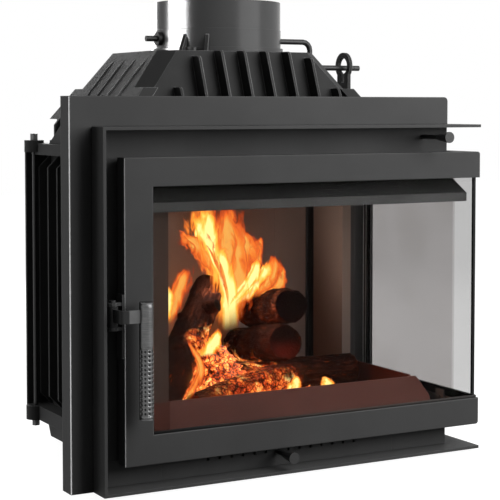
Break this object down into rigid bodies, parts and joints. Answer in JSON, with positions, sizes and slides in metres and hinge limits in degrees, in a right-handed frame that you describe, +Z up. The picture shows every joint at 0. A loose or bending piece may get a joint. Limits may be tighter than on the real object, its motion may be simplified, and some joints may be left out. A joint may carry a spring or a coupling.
{
  "type": "cast iron fireplace insert with corner window",
  "caption": "Built-in cast iron wood-burning fireplace with an L-shaped corner-glass door, ribbed smoke hood, flue collar with damper and a burning stack of logs.",
  "frame": {"origin": "centre of the overall bounding box in X and Y, on the plane the insert stands on", "axes": "+X across the front towards the side window, +Y from the front to the back, +Z up"},
  "size_m": [0.606, 0.42, 0.6337],
  "materials": {
    "cast_iron": "matt black stove paint",
    "flue_paint": "satin dark grey",
    "black_sheet": "matt black",
    "dark_steel": "blackened",
    "handle_steel": "brushed",
    "pane": "clear glass-ceramic",
    "seal": "black heat-proof seal",
    "rope": "braided glass-fibre rope",
    "firebrick": "sooted refractory board",
    "log_bark": "charred bark",
    "ember": "glowing charcoal"
  },
  "bodies": {
    "insert": {"mask_plate": "black_sheet", "trim_collar": "black_sheet", "front_casting": "cast_iron", "side_casting": "cast_iron", "sill_end_panels": "black_sheet", "sill_panel_centre": "black_sheet", "plinth": "black_sheet", "base_casting": "cast_iron", "crown_casting": "cast_iron", "tie_rods": "dark_steel", "tie_rod_nuts": "dark_steel", "left_panel": "cast_iron", "rear_panel": "cast_iron", "hood": "cast_iron", "hood_bolts": "dark_steel", "flue_collar": "flue_paint", "flue_lugs": "cast_iron", "shaft_bushes": "dark_steel", "rod_guides": "black_sheet", "mask_brackets": "black_sheet", "left_liner": "firebrick", "rear_liners": "firebrick", "right_liner": "firebrick", "hearth_plate": "cast_iron", "grate": "cast_iron", "ash_pan": "black_sheet", "baffle_rails": "black_sheet", "smoke_baffle": "firebrick", "log_guards": "black_sheet", "air_wash_deflector": "black_sheet", "log_front": "log_bark", "log_back": "log_bark", "log_middle": "log_bark", "log_top": "log_bark", "log_lean": "log_bark", "ember_bed": "ember", "hinge_brackets": "cast_iron", "hinge_pins": "dark_steel", "latch_keeper": "black_sheet"},
    "door": {"door_frame": "cast_iron", "front_glass": "pane", "side_glass": "pane", "corner_seal": "seal", "glass_clips": "black_sheet", "clip_screws": "dark_steel", "door_rope": "rope", "door_hinge_lugs": "cast_iron", "latch_bracket": "black_sheet", "handle_pin": "dark_steel"},
    "handle": {"handle_tube": "handle_steel", "handle_caps": "handle_steel", "handle_lever": "black_sheet"},
    "air_control": {"air_knob": "dark_steel", "air_rod": "dark_steel", "air_valve_plate": "black_sheet"},
    "damper_pull": {"pull_rod": "dark_steel", "damper_knob": "dark_steel", "lever_plate": "black_sheet"},
    "damper": {"damper_shaft": "dark_steel", "damper_flap": "cast_iron"}
  },
  "joints": [
    {"name": "door_hinge", "type": "hinge", "parent": "insert", "child": "door", "pos_m": [0.29, 0.1275, 0.229], "axis": [0, 0, 1], "range_deg": [0, 90]},
    {"name": "handle_turn", "type": "hinge", "parent": "door", "child": "handle", "pos_m": [-0.256, -0.168, 0.226], "axis": [0, 0, 1], "range_deg": [-30, 0]},
    {"name": "air_slide", "type": "slide", "parent": "insert", "child": "air_control", "axis": [0, -1, 0], "range_m": [-0.012, 0.0145]},
    {"name": "damper_slide", "type": "slide", "parent": "insert", "child": "damper_pull", "axis": [0, -1, 0], "range_m": [-0.0255, 0.0255]},
    {"name": "damper_turn", "type": "hinge", "parent": "insert", "child": "damper", "pos_m": [0.009, 0.0571, 0.58], "axis": [1, 0, 0], "range_deg": [-43, 43]}
  ],
  "couplings": [
    {"joint": "damper_turn", "follows": "damper_slide", "rad_per_m": -29.33}
  ]
}
